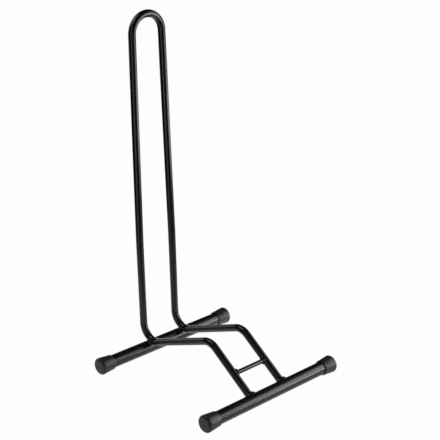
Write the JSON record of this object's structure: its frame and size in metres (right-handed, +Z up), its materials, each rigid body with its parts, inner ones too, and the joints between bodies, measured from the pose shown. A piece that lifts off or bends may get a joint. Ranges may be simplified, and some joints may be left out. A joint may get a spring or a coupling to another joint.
{
  "type": "bike rack",
  "caption": "Low floor stand that holds one bicycle upright by its wheel: a tall bent-tube hoop plugged into a welded base with rubber-capped feet.",
  "frame": {"origin": "on the floor, under the middle of the whole stand's bounding box", "axes": "+X to the right of the wheel that rolls in along +Y, +Y to the rear where the hoop stands, +Z up"},
  "size_m": [0.371, 0.394, 0.75],
  "materials": {
    "powder_coat": "satin black powder coat",
    "rubber": "matt moulded rubber",
    "bare_steel": "plain drawn tube"
  },
  "bodies": {
    "base": {"left_rail": "powder_coat", "right_rail": "powder_coat", "rear_foot_tube": "powder_coat", "front_foot_tube": "powder_coat", "tie_rod": "powder_coat", "left_spigot": "bare_steel", "right_spigot": "bare_steel", "rear_left_cap": "rubber", "rear_right_cap": "rubber", "front_left_cap": "rubber", "front_right_cap": "rubber", "rear_left_weld": "powder_coat", "rear_right_weld": "powder_coat", "front_left_weld": "powder_coat", "front_right_weld": "powder_coat", "tie_rod_left_weld": "powder_coat", "tie_rod_right_weld": "powder_coat"},
    "hoop": {"upper_hoop": "powder_coat"}
  },
  "joints": [
    {"name": "hoop_lift", "type": "slide", "parent": "base", "child": "hoop", "axis": [0, 0.0349, 0.9994], "range_m": [0, 0.05]}
  ]
}
